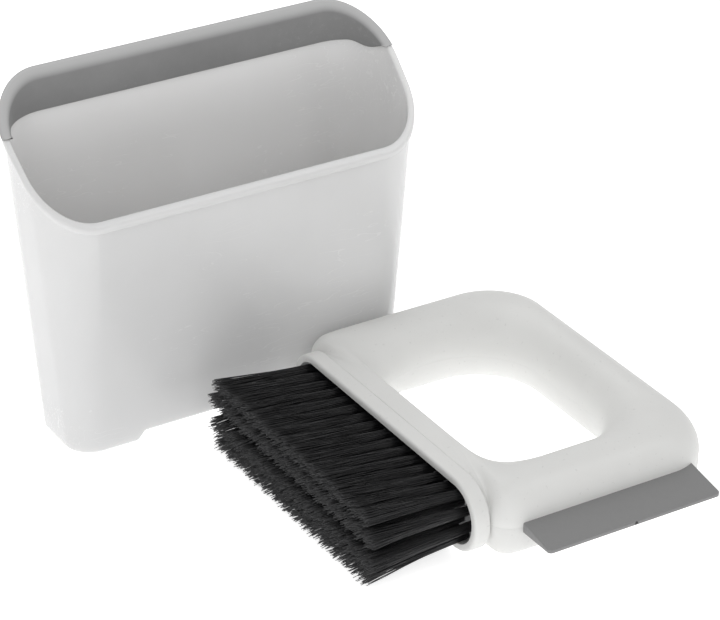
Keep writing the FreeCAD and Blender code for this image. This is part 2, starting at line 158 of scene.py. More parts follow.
class StageSizes(bpy.types.PropertyGroup):
    """Floor, lights and camera."""
    azimuth: FloatProperty(name="Azimuth", description="Camera direction in degrees", default=-31.05)
    elevation: FloatProperty(name="Elevation", description="Camera height in degrees", default=28.85)
    distance: size("Distance", "Camera distance from its aim", 1.3899)
    aim_right: size("Aim right", "Aim to the right of the bin's foot", 0.06374)
    aim_up: size("Aim up", "Aim above the bin's foot", 0.03592)
    lens: FloatProperty(name="Lens", description="Focal length in millimetres", default=152.6)
    floor_colour: colour("Floor colour", "Near-white table", (0.72, 0.72, 0.72))


# ---------------------------------------------------------------- where things stand

BIN_X = middle("bin_shell", 0)
BRUSH_AHEAD = -0.1085
BRUSH_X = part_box("head_frame")[0].x + 0.0585
BRUSH_Y = middle("head_frame", 1)
BIN_Y = BRUSH_Y - BRUSH_AHEAD


# ---------------------------------------------------------------- mesh helpers


def lerp(a, b, f):
    return a + (b - a) * f


def smooth_step(f):
    f = min(max(f, 0.0), 1.0)
    return f * f * (3 - 2 * f)


def soften(points, radius, steps=4, closed=True):
    """A section with every corner rounded.  A corner may carry its own radius as a third number."""
    made = []
    count = len(points)
    for i, point in enumerate(points):
        here = Vector(point[:2])
        if not closed and i in (0, count - 1):
            made.append(here)
            continue
        before = Vector(points[i - 1][:2]) - here
        after = Vector(points[(i + 1) % count][:2]) - here
        reach = point[2] if len(point) > 2 else radius
        reach = min(reach, before.length * 0.49, after.length * 0.49)
        start = here + before.normalized() * reach
        end = here + after.normalized() * reach
        for k in range(steps + 1):
            f = k / steps
            made.append(start * (1 - f) ** 2 + here * 2 * f * (1 - f) + end * f * f)
    return made


def skin(name, rings, closed_rings=True, closed_run=False, caps=False):
    """A mesh through rings of points that all have the same count."""
    count = len(rings[0])
    points = [tuple(p) for ring in rings for p in ring]
    faces = []
    for i in range(len(rings) if closed_run else len(rings) - 1):
        a = i * count
        b = (i + 1) % len(rings) * count
        for j in range(count if closed_rings else count - 1):
            k = (j + 1) % count
            faces.append((a + j, a + k, b + k, b + j))
    if caps:
        faces.append(tuple(range(count))[::-1])
        faces.append(tuple(range(len(points) - count, len(points))))
    mesh = bpy.data.meshes.new(name)
    mesh.from_pydata(points, [], faces)
    tidy = bmesh.new()
    tidy.from_mesh(mesh)
    bmesh.ops.remove_doubles(tidy, verts=tidy.verts, dist=1e-6)
    bmesh.ops.recalc_face_normals(tidy, faces=tidy.faces)
    tidy.to_mesh(mesh)
    tidy.free()
    return mesh


def piece(name, mesh, look, body, nodes, sharp=35):
    """Puts a mesh into the scene as a smooth shaded piece that rides on a body."""
    made = bpy.data.objects.new(name, mesh)
    bpy.context.scene.collection.objects.link(made)
    mesh.materials.clear()
    mesh.materials.append(look)
    mesh.shade_smooth()
    if sharp:
        mesh.set_sharp_from_angle(angle=math.radians(sharp))
    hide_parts(*nodes)
    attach(made, body)
    return made


def around(t, half_wide, half_deep, corners, centre=(0.0, 0.0)):
    """A point on a rounded rectangle.  t runs from 0 to 8: the right side, the back right corner,
    the back, and so on; corners are the four radii in that order."""
    part = int(t) % 8
    f = t - int(t)
    signs = ((1, 1), (-1, 1), (-1, -1), (1, -1))

    def middle_of(j):
        r = corners[j % 4]
        sx, sy = signs[j % 4]
        return Vector((sx * (half_wide - r), sy * (half_deep - r)))

    j = part // 2
    if part % 2:
        r = corners[j]
        angle = math.pi / 2 * (j + f)
        spot = middle_of(j) + Vector((math.cos(angle), math.sin(angle))) * r
    else:
        angle = math.pi / 2 * j
        way = Vector((math.cos(angle), math.sin(angle)))
        start = middle_of(j - 1) + way * corners[(j - 1) % 4]
        end = middle_of(j) + way * corners[j]
        spot = lerp(start, end, f)
    return spot + Vector(centre)


def stations(straight, corner, extra=()):
    """Values of t for a closed run: so many steps on a straight and on a corner."""
    made = []
    for part in range(8):
        steps = corner if part % 2 else straight
        made += [part + k / steps for k in range(steps)]
    return sorted(set(made) | set(extra))


# ---------------------------------------------------------------- materials


class Look:
    """A material built from nodes, all of it in the object's own space."""

    def __init__(self, name):
        self.material = bpy.data.materials.new(name)
        self.material.use_nodes = True
        self.tree = self.material.node_tree
        self.shader = self.tree.nodes["Principled BSDF"]
        self.place = self.add("ShaderNodeTexCoord").outputs["Object"]
        self.height = None

    def add(self, kind, **values):
        node = self.tree.nodes.new(kind)
        for name, value in values.items():
            setattr(node, name, value)
        return node

    def link(self, source, target):
        self.tree.links.new(source, target)

    def stretched(self, scale):
        """The object's space, scaled apart along its axes."""
        mapping = self.add("ShaderNodeMapping")
        mapping.inputs["Scale"].default_value = scale
        self.link(self.place, mapping.inputs["Vector"])
        return mapping.outputs["Vector"]

    def noise(self, scale, detail=3.0, roughness=0.5, space=None, distortion=0.0):
        node = self.add("ShaderNodeTexNoise")
        self.link(space or self.place, node.inputs["Vector"])
        node.inputs["Scale"].default_value = scale
        node.inputs["Detail"].default_value = detail
        node.inputs["Roughness"].default_value = roughness
        node.inputs["Distortion"].default_value = distortion
        return node.outputs["Fac"]

    def spread(self, source, low, high, to_low=0.0, to_high=1.0):
        """Maps low..high of a value to another range, held at its ends."""
        node = self.add("ShaderNodeMapRange")
        sockets = ("From Min", "From Max", "To Min", "To Max")
        for socket, value in zip(sockets, (low, high, to_low, to_high)):
            node.inputs[socket].default_value = value
        self.link(source, node.inputs["Value"])
        return node.outputs["Result"]

    def times(self, one, other):
        node = self.add("ShaderNodeMath", operation="MULTIPLY")
        for socket, value in zip(node.inputs, (one, other)):
            if isinstance(value, float):
                socket.default_value = value
            else:
                self.link(value, socket)
        return node.outputs["Value"]

    def mix(self, amount, one, other):
        """A colour between two; each is a colour or a socket."""
        node = self.add("ShaderNodeMix", data_type="RGBA")
        self.link(amount, node.inputs["Factor"])
        for socket, value in ((node.inputs[6], one), (node.inputs[7], other)):
            if isinstance(value, bpy.types.NodeSocket):
                self.link(value, socket)
            else:
                socket.default_value = (*value, 1.0)
        return node.outputs[2]

    def edges(self, low, high):
        """1 on convex edges, 0 elsewhere: the mask of a painted edge highlight."""
        node = self.add("ShaderNodeNewGeometry")
        return self.spread(node.outputs["Pointiness"], low, high)

    def bump(self, source, strength, distance):
        node = self.add("ShaderNodeBump")
        node.inputs["Strength"].default_value = strength
        node.inputs["Distance"].default_value = distance
        self.link(source, node.inputs["Height"])
        if self.height:
            self.link(self.height, node.inputs["Normal"])
        self.height = node.outputs["Normal"]
        self.link(self.height, self.shader.inputs["Normal"])

    def scratches(self, scale, width, turn, seed):
        """Fine random lines: the narrow valleys of a stretched noise."""
        mapping = self.add("ShaderNodeMapping")
        mapping.inputs["Rotation"].default_value = turn
        mapping.inputs["Location"].default_value = (seed, seed * 0.7, seed * 1.3)
        mapping.inputs["Scale"].default_value = (1.0, 12.0, 6.0)
        self.link(self.place, mapping.inputs["Vector"])
        lines = self.noise(scale, 2.0, 0.5, mapping.outputs["Vector"])
        centre = self.add("ShaderNodeMath", operation="SUBTRACT")
        self.link(lines, centre.inputs[0])
        centre.inputs[1].default_value = 0.5
        size = self.add("ShaderNodeMath", operation="ABSOLUTE")
        self.link(centre.outputs["Value"], size.inputs[0])
        return self.spread(size.outputs["Value"], 0.0, width, 1.0, 0.0)

    def colour(self, socket):
        self.link(socket, self.shader.inputs["Base Color"])

    def rough(self, socket):
        self.link(socket, self.shader.inputs["Roughness"])

    def set(self, **values):
        """Numbers that are the same all over the surface, by the socket's name."""
        for name, value in values.items():
            self.shader.inputs[name.replace("_", " ")].default_value = value


def shade(colour, factor):
    return tuple(min(c * factor, 1.0) for c in colour)


def gloss_plastic(name, colour):
    """Moulded polypropylene: glossy, a little cloudy, with flow marks and fine wipe scratches."""
    look = Look(name)
    cloud = look.noise(14.0, 3.0, 0.6)
    tone = look.mix(look.spread(cloud, 0.35, 0.68), shade(colour, 0.975), shade(colour, 1.01))
    flow = look.noise(26.0, 2.0, 0.5, look.stretched((1.0, 1.0, 0.22)))
    tone = look.mix(look.spread(flow, 0.5, 0.9, 0.0, 0.5), tone, shade(colour, 0.93))
    look.colour(tone)
    marks = look.scratches(30.0, 0.010, (0.2, 0.5, 0.9), 3.1)
    patches = look.spread(look.noise(22.0, 2.0), 0.45, 0.7)
    wear = look.times(marks, patches)
    grain = look.spread(look.noise(380.0, 4.0, 0.6), 0.3, 0.7, 0.16, 0.21)
    smear = look.spread(look.noise(9.0, 4.0, 0.65, None, 0.6), 0.4, 0.75, 0.0, 0.10)
    total = look.add("ShaderNodeMath", operation="ADD")
    look.link(grain, total.inputs[0])
    look.link(smear, total.inputs[1])
    wear_and_edge_highlight = look.add("ShaderNodeMath", operation="ADD")
    look.link(total.outputs["Value"], wear_and_edge_highlight.inputs[0])
    look.link(look.times(wear, 0.18), wear_and_edge_highlight.inputs[1])
    look.rough(wear_and_edge_highlight.outputs["Value"])
    look.bump(look.noise(28.0, 2.0, 0.5), 0.10, 0.0004)
    look.bump(look.noise(900.0, 2.0, 0.5), 0.03, 0.00005)
    look.bump(wear, 0.05, -0.00005)
    look.set(IOR=1.49, Subsurface_Weight=0.45, Subsurface_Radius=(1.0, 0.97, 0.94), Subsurface_Scale=0.006)
    return look.material


def satin_plastic(name, colour):
    """Moulded handle plastic with a fine spark-eroded grain and a painted highlight along its convex
    edges.
    """
    look = Look(name)
    cloud = look.noise(18.0, 3.0, 0.6)
    tone = look.mix(look.spread(cloud, 0.35, 0.68), shade(colour, 0.965), shade(colour, 1.015))
    specks = look.spread(look.noise(620.0, 1.0, 0.5), 0.70, 0.78)
    tone = look.mix(look.times(specks, 0.5), tone, shade(colour, 0.80))
    # Convex edges get a lighter tone: a painted highlight along the edges.
    wear_and_edge_highlight = look.edges(0.52, 0.60)
    tone = look.mix(look.times(wear_and_edge_highlight, 0.4), tone, shade(colour, 1.05))
    look.colour(tone)
    marks = look.scratches(42.0, 0.012, (0.4, 0.1, 1.2), 1.7)
    wear = look.times(marks, look.spread(look.noise(16.0, 2.0), 0.5, 0.7))
    grain = look.spread(look.noise(700.0, 3.0, 0.6), 0.3, 0.7, 0.40, 0.50)
    total = look.add("ShaderNodeMath", operation="SUBTRACT")
    look.link(grain, total.inputs[0])
    look.link(look.times(wear, 0.12), total.inputs[1])
    look.rough(total.outputs["Value"])
    look.bump(look.noise(1300.0, 3.0, 0.65), 0.16, 0.00012)
    look.bump(look.noise(40.0, 2.0, 0.5), 0.06, 0.0005)
    look.bump(wear, 0.05, -0.00005)
    look.set(IOR=1.5, Subsurface_Weight=0.06, Subsurface_Radius=(1.0, 0.95, 0.9), Subsurface_Scale=0.002)
    return look.material


def soft_rubber(name, colour, top_highlight=1.0, pit=None, pit_radius=0.0010):
    """Grey thermoplastic elastomer: dull, dusty in patches, with faces that look up painted paler as a
    highlight for light from above, and with a moulding gate pit, dented and painted dark as its shade, if
    one is given."""
    look = Look(name)
    cloud = look.noise(24.0, 4.0, 0.6)
    tone = look.mix(look.spread(cloud, 0.35, 0.7), shade(colour, 0.92), shade(colour, 1.06))
    dust = look.times(look.spread(look.noise(420.0, 3.0, 0.7), 0.56, 0.74),
                      look.spread(look.noise(20.0, 2.0), 0.42, 0.7))
    tone = look.mix(look.times(dust, 0.35), tone, shade(colour, 1.7))
    facing = look.add("ShaderNodeSeparateXYZ")
    look.link(look.add("ShaderNodeNewGeometry").outputs["Normal"], facing.inputs["Vector"])
    # Faces that look up get a paler tone: a painted highlight for light falling from above.
    lit_top = look.spread(facing.outputs["Z"], 0.25, 0.85)
    tone = look.mix(lit_top, tone, shade(colour, top_highlight))
    if pit:
        gap = look.add("ShaderNodeVectorMath", operation="DISTANCE")
        look.link(look.place, gap.inputs[0])
        gap.inputs[1].default_value = pit
        # The gate pit is dented by the bump and painted near black: painted shade inside the pit.
        pit_shade = look.spread(gap.outputs["Value"], pit_radius * 0.6, pit_radius, 1.0, 0.0)
        tone = look.mix(pit_shade, tone, shade(colour, 0.12))
        look.bump(pit_shade, 0.6, -0.0004)
    look.colour(tone)
    look.rough(look.spread(look.noise(300.0, 4.0, 0.6), 0.3, 0.7, 0.50, 0.66))
    look.bump(look.noise(900.0, 3.0, 0.6), 0.22, 0.00012)
    look.bump(look.noise(60.0, 2.0, 0.5), 0.08, 0.0005)
    look.set(IOR=1.47, Specular_IOR_Level=0.42, Sheen_Weight=0.08, Sheen_Roughness=0.5)
    return look.material


def nylon(name, colour, tip_colour, root, reach):
    """Black nylon fibre.  Each fibre has its own tone, and the cut ends are scuffed grey."""
    look = Look(name)
    fibre = look.add("ShaderNodeNewGeometry").outputs["Random Per Island"]
    tone = look.mix(look.spread(fibre, 0.0, 1.0), shade(colour, 0.6), shade(colour, 2.0))
    axes = look.add("ShaderNodeSeparateXYZ")
    look.link(look.place, axes.inputs["Vector"])
    scuffed = look.spread(axes.outputs["X"], root - reach + 0.0014, root - reach - 0.0002)
    speck = look.spread(look.noise(700.0, 2.0), 0.45, 0.62)
    tone = look.mix(look.times(look.times(scuffed, speck), 0.8), tone, tip_colour)
    look.colour(tone)
    look.rough(look.spread(fibre, 0.0, 1.0, 0.30, 0.46))
    look.bump(look.noise(1800.0, 1.0), 0.15, 0.00008)
    look.set(IOR=1.53, Specular_IOR_Level=0.5)
    return look.material


def drawn_wire(name, colour):
    """Bright staple wire with drawing marks."""
    look = Look(name)
    streaks = look.noise(900.0, 3.0, 0.6, look.stretched((1.0, 0.15, 1.0)))
    look.colour(look.mix(look.spread(streaks, 0.3, 0.7), shade(colour, 0.85), shade(colour, 1.1)))
    look.rough(look.spread(streaks, 0.3, 0.7, 0.22, 0.38))
    look.bump(streaks, 0.1, 0.00005)
    look.set(Metallic=1.0)
    return look.material


def table_top(name, colour):
    """A pale table with a very faint grain."""
    look = Look(name)
    tone = look.noise(30.0, 3.0, 0.6)
    look.colour(look.mix(look.spread(tone, 0.3, 0.7), shade(colour, 0.99), shade(colour, 1.01)))
    look.rough(look.spread(look.noise(60.0, 3.0), 0.3, 0.7, 0.20, 0.28))
    look.set(Specular_IOR_Level=0.3, Emission_Color=(1.0, 1.0, 1.0, 1.0), Emission_Strength=0.75)
    return look.material


# ---------------------------------------------------------------- bin and lip


def bin_plan(sizes, t, level, out):
    """A point of the bin's tapered outline at a level, moved outward by out."""
    f = level / sizes.crown_level
    half_wide = lerp(sizes.foot_half_width, sizes.crown_half_width, f) + out
    half_deep = lerp(sizes.foot_half_depth, sizes.crown_half_depth, f) + out
    corner = max(lerp(sizes.foot_corner, sizes.crown_corner, f) + out, 0.0)
    centre = lerp(sizes.foot_centre, sizes.crown_centre, f)
    return around(t, half_wide, half_deep, (corner,) * 4, (0.0, centre))


def rim_level(sizes, t, out, rise):
    """The level where a column of the wall meets the mouth plane, raised by rise."""
    low = bin_plan(sizes, t, 0.0, out).y
    high = bin_plan(sizes, t, sizes.crown_level, out).y
    climb = (high - low) / sizes.crown_level
    return (sizes.mouth_level + rise + sizes.mouth_slope * low) / (1 - sizes.mouth_slope * climb)


def arch_level(sizes, x, widen=0.0):
    """How far the floor is raised at x: nothing on the two feet, the full height between them."""
    start = sizes.arch_half_width + widen - sizes.arch_step
    return sizes.arch_height * (1 - smooth_step((abs(x) - start) / sizes.arch_step))


def bin_point(sizes, t, level, out):
    spot = bin_plan(sizes, t, level, out)
    return Vector((BIN_X + spot.x, BIN_Y + spot.y, level))


def arch_stations(sizes):
    """Extra columns where the floor ramps up between foot and arch."""
    run = sizes.foot_half_width - sizes.foot_corner
    made = []
    for k in range(-1, 7):
        x = sizes.arch_half_width - sizes.arch_step * k / 5
        for side in (-1, 1):
            made.append(6 + (side * x + run) / (2 * run))
            made.append(2 + (run - side * x) / (2 * run))
    return made


def bin_mesh(sizes):
    """The whole wall as one closed skin: underside, outer wall, rim bead, inner wall and floor."""
    columns = stations(12, 18, arch_stations(sizes))
    edge = 0.0015
    fillet = 0.003
    bead_foot = -0.003
    wall = sizes.wall
    rings = []

    def ring(out, level_of):
        """level_of takes the column's t and its place on the floor."""
        points = []
        for t in columns:
            floor_spot = bin_plan(sizes, t, 0.0, out)
            points.append(bin_point(sizes, t, level_of(t, floor_spot.x), out))
        rings.append(points)

    for share in (1.0, 0.8, 0.6, 0.45, 0.3, 0.18):
        ring(-sizes.foot_half_depth * share, lambda t, x: arch_level(sizes, x))
    for k in range(6):
        angle = math.pi / 2 * k / 5
        lift = edge * (1 - math.cos(angle))
        ring(-edge * (1 - math.sin(angle)), lambda t, x: arch_level(sizes, x) + lift)

    under_bead = -sizes.bead_height - 0.0012
    for k in range(1, 13):
        f = k / 13
        ring(0.0, lambda t, x: lerp(arch_level(sizes, x) + edge, rim_level(sizes, t, 0.0, under_bead), f))

    bead = [
        (0.0, under_bead),
        (0.0, -sizes.bead_height - 0.0002, 0.0006),
        (sizes.bead_out, -sizes.bead_height + 0.0004, 0.0006),
        (sizes.bead_out, 0.0, 0.0011),
        (-wall, 0.0, 0.0011),
        (-wall, bead_foot),
    ]
    for out, rise in soften(bead, 0.0006, steps=5, closed=False):
        ring(out, lambda t, x: rim_level(sizes, t, out, rise))

    for k in range(1, 13):
        f = k / 12
        ring(-wall, lambda t, x: lerp(rim_level(sizes, t, -wall, bead_foot),
                                      arch_level(sizes, x, wall / 2) + wall + fillet, f))
    for k in range(1, 6):
        angle = math.pi / 2 * k / 5
        drop = fillet * (1 - math.sin(angle))
        ring(-wall - fillet * (1 - math.cos(angle)),
             lambda t, x: arch_level(sizes, x, wall / 2) + wall + drop)
    for share in (0.3, 0.45, 0.6, 0.8, 1.0):
        ring(-sizes.foot_half_depth * share, lambda t, x: arch_level(sizes, x, wall / 2) + wall)
    return skin("bin_shell_skin", rings)


def lip_mesh(sizes):
    """A hook section that wraps the rim along the back of the mouth, down to the lip level."""
    play = 0.00005
    inner_top = -0.004
    inside = -sizes.wall - play
    outside = sizes.bead_out + play
    wrap = soften([
        (inside, play, 0.0),
        (outside, play, 0.0),
        (outside, -sizes.lip_drop, 0.0001),
        (sizes.lip_out, -sizes.lip_drop, 0.0002),
        (sizes.lip_out, sizes.lip_rise, 0.0016),
        (-sizes.lip_in, sizes.lip_rise, 0.0022),
        (-sizes.lip_in, inner_top, 0.0),
    ], 0.0, steps=6, closed=False)
    foot = [(-sizes.lip_in, 0.0006), (-sizes.lip_in + 0.0002, 0.0002), (-sizes.lip_in + 0.0006, 0.0),
            (inside, 0.0)]
    corner_dip = 0.0025
    dip_reach = 0.62
    back_middle = 2.5
    back_corner = 2.0
    halvings = 40

    start, end = 0.0, back_corner
    for _ in range(halvings):
        t = (start + end) / 2
        if rim_level(sizes, t, sizes.lip_out, sizes.lip_rise) < sizes.lip_level:
            start = t
        else:
            end = t
    count = 240
    rings = []
    for k in range(count + 1):
        t = back_middle - (back_middle - start) * math.cos(math.pi * k / count)
        ring = [bin_point(sizes, t, max(rim_level(sizes, t, out, rise), sizes.lip_level), out)
                for out, rise in wrap]
        tops = max(rim_level(sizes, t, -sizes.lip_in, inner_top), sizes.lip_level)
        dip_place = (t - start) / (dip_reach * (back_corner - start))
        low = sizes.lip_level - corner_dip * math.sin(math.pi * min(max(dip_place, 0.0), 1.0)) ** 2
        ring += [bin_point(sizes, t, min(low + lift, tops), out) for out, lift in foot]
        rings.append(ring)
    return skin("pan_lip_skin", rings, caps=True)


# ---------------------------------------------------------------- loop handle


def brush_point(along, across, level):
    return Vector((BRUSH_X + along, BRUSH_Y + across, level))


def loop_outer(sizes, t):
    half = (sizes.back - sizes.ahead) / 2
    corners = (sizes.corner, sizes.front_corner, sizes.front_corner, sizes.corner)
    return around(t, half, sizes.half_length, corners, (sizes.ahead + half, 0.0))


def loop_inner(sizes, t):
    half = (sizes.hole_back - sizes.hole_front) / 2
    centre = (sizes.hole_front + half, 0.0)
    return around(t, half, sizes.hole_half_length, (sizes.hole_corner,) * 4, centre)


def face_level(sizes, across):
    """Height over the parting plane of the front face's top edge: it follows the frame's oval."""
    round_start = sizes.frame_half_length - sizes.frame_half_height
    past = max(abs(across) - round_start, 0.0)
    reach = sizes.height / 2 - sizes.ridge_drop
    return math.sqrt(max(reach ** 2 - min(past, reach) ** 2, 0.0))


def loop_section(sizes, t, outer, inner, steps=18):
    """Half of the bar's section: (share of the way from outer to inner edge, height over the
    parting plane).  The front bar has an upright face and a slope up to its ridge; the rest is a
    full, rounded bar."""
    width = (inner - outer).length
    tall = sizes.height / 2
    front = smooth_step((0.95 - abs(t - 4.5)) / 0.5)
    ridge_share = (sizes.ridge - outer.x) / max(inner.x - outer.x, 0.001)
    ridge_share = min(max(ridge_share, 0.12), 0.8)
    top = lerp(0.5, ridge_share, smooth_step((1.5 - abs(t - 4.5)) / 0.9))
    low_top = face_level(sizes, outer.y)
    crease = 1 - smooth_step((abs(outer.y) - 0.050) / 0.015)
    turn = 0.0010
    outer_power = 2.45
    inner_power = 2.0

    points = [(sizes.seam / width, 0.00002)]
    for k in range(1, steps + 1):
        f = k / steps
        angle = math.pi / 2 * f
        round_share = top * (1 - math.cos(angle) ** (2 / outer_power))
        round_level = tall * math.sin(angle) ** (2 / outer_power)
        if f <= 0.35:
            face = (0.0, max(low_top - turn, 0.0) * f / 0.35)
        elif f <= 0.55:
            bend = math.pi / 2 * (f - 0.35) / 0.2
            face = (turn / width * (1 - math.cos(bend)), low_top - turn * (1 - math.sin(bend)))
        else:
            g = (f - 0.55) / 0.45
            bow = math.pi / 2 * g
            face = (lerp(turn / width, top, lerp(1 - math.cos(bow), g, crease)),
                    lerp(low_top, tall, lerp(math.sin(bow), g, crease)))
        share = lerp(round_share, face[0], front)
        level = lerp(round_level, face[1], front)
        points.append((share, max(level, sizes.seam if k == 1 else 0.0)))
    for k in range(1, steps):
        angle = math.pi / 2 * (1 - k / steps)
        share = 1 - (1 - top) * (1 - math.cos(angle) ** (2 / inner_power))
        points.append((share, tall * math.sin(angle) ** (2 / inner_power)))
    points.append((1.0, 0.00002))
    return points


def shell_mesh(sizes, up):
    """One hollow half of the loop."""
    middle_level = sizes.height / 2
    side = 1 if up else -1
    rings = []
    for t in stations(16, 26):
        outer = loop_outer(sizes, t)
        inner = loop_inner(sizes, t)
        section = loop_section(sizes, t, outer, inner)
        narrow = 1 - 2 * sizes.wall / (inner - outer).length
        low = 1 - sizes.wall / middle_level
        hollow = [(0.5 + (share - 0.5) * narrow, level * low + 0.00002) for share, level in section]
        ring = []
        for share, level in section + hollow[::-1]:
            spot = lerp(outer, inner, share)
            ring.append(brush_point(spot.x, spot.y, middle_level + side * level))
        rings.append(ring)
    return skin("loop_shell_skin", rings, closed_run=True)


# ---------------------------------------------------------------- bristle head


def frame_mesh(sizes):
    """A rounded band swept round the flat oval of the tuft block."""
    back = sizes.ahead - 0.00008
    seam = 0.00045
    section = soften([
        (back, -seam, 0.0001),
        (back - seam, 0.0, 0.0001),
        (sizes.frame_front, 0.0, sizes.frame_round),
        (sizes.frame_front, -sizes.frame_band, 0.0006),
        (back, -sizes.frame_band, 0.0001),
    ], 0.0, steps=7)
    rings = []
    for t in stations(1, 28, [2 + k / 20 for k in range(20)] + [6 + k / 20 for k in range(20)]):
        if int(t) in (0, 4):
            continue
        ring = []
        for along, out in section:
            half_high = sizes.frame_half_height + out
            spot = around(t, sizes.frame_half_length + out, half_high, (half_high,) * 4)
            ring.append(brush_point(along, spot.x, sizes.height / 2 + spot.y))
        rings.append(ring)
    return skin("head_frame_skin", rings, closed_run=True)


ROWS = (
    ("tufts_top_row", 16, 1, "outer_level", 5.2),
    ("tufts_upper_row", 17, 1, "inner_level", 2.0),
    ("tufts_lower_row", 17, -1, "inner_level", -2.4),
    ("tufts_bottom_row", 16, -1, "outer_level", -4.6),
)
GOLDEN_TURN = math.pi * (3 - math.sqrt(5))


def add_fibre(points, faces, path, radius):
    """A three-sided fibre along a path, closed at its cut end."""
    first = len(points)
    for spot in path:
        for side in range(3):
            angle = math.tau * side / 3
            points.append((spot.x, spot.y + radius * math.cos(angle), spot.z + radius * math.sin(angle)))
    for k in range(len(path) - 1):
        a = first + 3 * k
        for side in range(3):
            b = (side + 1) % 3
            faces.append((a + side, a + b, a + 3 + b, a + 3 + side))
    end = first + 3 * (len(path) - 1)
    faces.append((end, end + 1, end + 2))


def tuft_path(tufts, root, lean, offset, reach, chance, bend):
    """The line of one fibre: out of its hole, fanning to its place at the tip, slightly crimped."""
    across, rise = offset
    depth = 0.003
    steps = 6
    wave = chance.uniform(0, math.tau)
    crimp = chance.uniform(0.00004, 0.00022)
    tip = Vector((chance.gauss(across / tufts.root_radius * tufts.tip_spread, 0.00045),
                  chance.gauss(rise / tufts.root_radius * tufts.tip_rise, 0.00035)))
    path = []
    for k in range(steps + 1):
        run = lerp(-depth, reach, k / steps)
        f = max(run, 0.0) / tufts.free_length
        fan = f ** 1.7
        y = lerp(across, tip.x, fan) + crimp * math.sin(wave + 9 * f) + bend[0] * f * f
        z = lerp(rise, tip.y, fan) + crimp * math.cos(wave + 8 * f) + bend[1] * f * f
        z += run * math.sin(lean) + root.z
        path.append(Vector((root.x - run * math.cos(lean), root.y + y, max(z, tufts.fibre + 0.0003))))
    return path


def row_mesh(name, brush, tufts, count, level, lean, seed):
    chance = random.Random(seed)
    points, faces = [], []
    for i in range(count):
        place = tufts.pitch * (i - (count - 1) / 2)
        root = brush_point(brush.block_front, place, brush.height / 2 + level)
        turn = chance.uniform(0, math.tau)
        swing = chance.gauss(0.0, 0.0004)
        for k in range(tufts.fibres):
            ring = tufts.root_radius * math.sqrt((k + 0.5) / tufts.fibres)
            angle = turn + GOLDEN_TURN * k
            offset = (ring * math.cos(angle), ring * math.sin(angle))
            reach = tufts.free_length + chance.gauss(-0.0003, 0.0006)
            if chance.random() < 0.10:
                reach -= chance.uniform(0.001, 0.005)
            bend = (swing + chance.gauss(0, 0.0003), chance.gauss(0, 0.0003))
            path = tuft_path(tufts, root, lean, offset, reach, chance, bend)
            add_fibre(points, faces, path, tufts.fibre)
    for _ in range(tufts.strays // 4):
        place = tufts.pitch * chance.uniform(-0.5, 0.5) * count
        root = brush_point(brush.block_front, place, brush.height / 2 + level)
        bend = (chance.gauss(0, 0.004), chance.gauss(0, 0.0022))
        reach = tufts.free_length + chance.uniform(-0.004, 0.0012)
        path = tuft_path(tufts, root, lean, (0.0, 0.0), reach, chance, bend)
        add_fibre(points, faces, path, tufts.fibre)
    mesh = bpy.data.meshes.new(name + "_fibres")
    mesh.from_pydata(points, [], faces)
    return mesh


# ---------------------------------------------------------------- squeegee


def handle_edge(sizes, along):
    """How far out the loop's squeegee side is at a place along it."""
    for corner, start, way in ((sizes.corner, sizes.back - sizes.corner, 1),
                               (sizes.front_corner, sizes.ahead + sizes.front_corner, -1)):
        past = (along - start) * way
        if past > 0:
            return sizes.half_length - corner + math.sqrt(max(corner ** 2 - past ** 2, 0.0))
    return sizes.half_length


def blade_mesh(sizes):
    """A tapered wedge of elastomer along the loop, with rounded outer corners and ends."""
    end = sizes.blade_left + sizes.blade_length
    curl = sizes.blade_end_round
    depth = sizes.blade_reach - sizes.half_length
    rings = []
    places = [curl * (1 - math.cos(math.pi / 2 * k / 8)) for k in range(9)]
    middle_places = [lerp(curl, sizes.blade_length - curl, k / 60) for k in range(1, 60)]
    places = places + middle_places + [sizes.blade_length - p for p in places[::-1]]
    for place in places:
        along = sizes.blade_left + place
        near = min(place, sizes.blade_length - place)
        short = curl - math.sqrt(max(curl ** 2 - max(curl - near, 0.0) ** 2, 0.0))
        thin = 0.0005 * (1 - math.sqrt(max(1 - max(1 - near / 0.0006, 0.0) ** 2, 0.0)))
        root = handle_edge(sizes, min(along, end)) - 0.0008
        tip = sizes.blade_reach - short
        slopes = ((sizes.blade_root_top - sizes.blade_tip_top) / depth,
                  (sizes.blade_root_bottom - sizes.blade_tip_bottom) / depth)
        levels = [(sizes.blade_tip_top - thin + slopes[0] * (sizes.blade_reach - y),
                   sizes.blade_tip_bottom + thin + slopes[1] * (sizes.blade_reach - y))
                  for y in (root, tip)]
        section = soften([
            (root, levels[0][1], 0.0003), (tip, levels[1][1], 0.0003),
            (tip, levels[1][0], 0.0004), (root, levels[0][0], 0.0003),
        ], 0.0, steps=4)
        rings.append([brush_point(along, -p.x, p.y) for p in section])
    return skin("squeegee_blade_skin", rings, caps=True)


# ---------------------------------------------------------------- operators


class PieceOperator(bpy.types.Operator):
    """Base of all the operators."""
    bl_options = {"REGISTER", "UNDO"}

    def execute(self, context):
        self.make(context.scene)
        return {"FINISHED"}


class DUSTPAN_OT_bin(PieceOperator):
    """Makes the tapered bin with its rim bead and two feet"""
    bl_idname = "dustpan.bin"
    bl_label = "Bin shell"

    def make(self, scene):
        sizes = scene.dustpan_bin
        look = gloss_plastic("bin_polypropylene", sizes.colour)
        piece("bin_wall_and_floor", bin_mesh(sizes), look, "bin", ["bin_shell"])


class DUSTPAN_OT_lip(PieceOperator):
    """Makes the soft grey lip over the back of the mouth"""
    bl_idname = "dustpan.lip"
    bl_label = "Soft lip"

    def make(self, scene):
        sizes = scene.dustpan_bin
        # The lip's upward faces are painted 2.2 times paler: a painted highlight on its top.
        look = soft_rubber("lip_elastomer", sizes.lip_colour, top_highlight=2.2)
        piece("soft_lip", lip_mesh(sizes), look, "bin", ["pan_lip"], sharp=50)


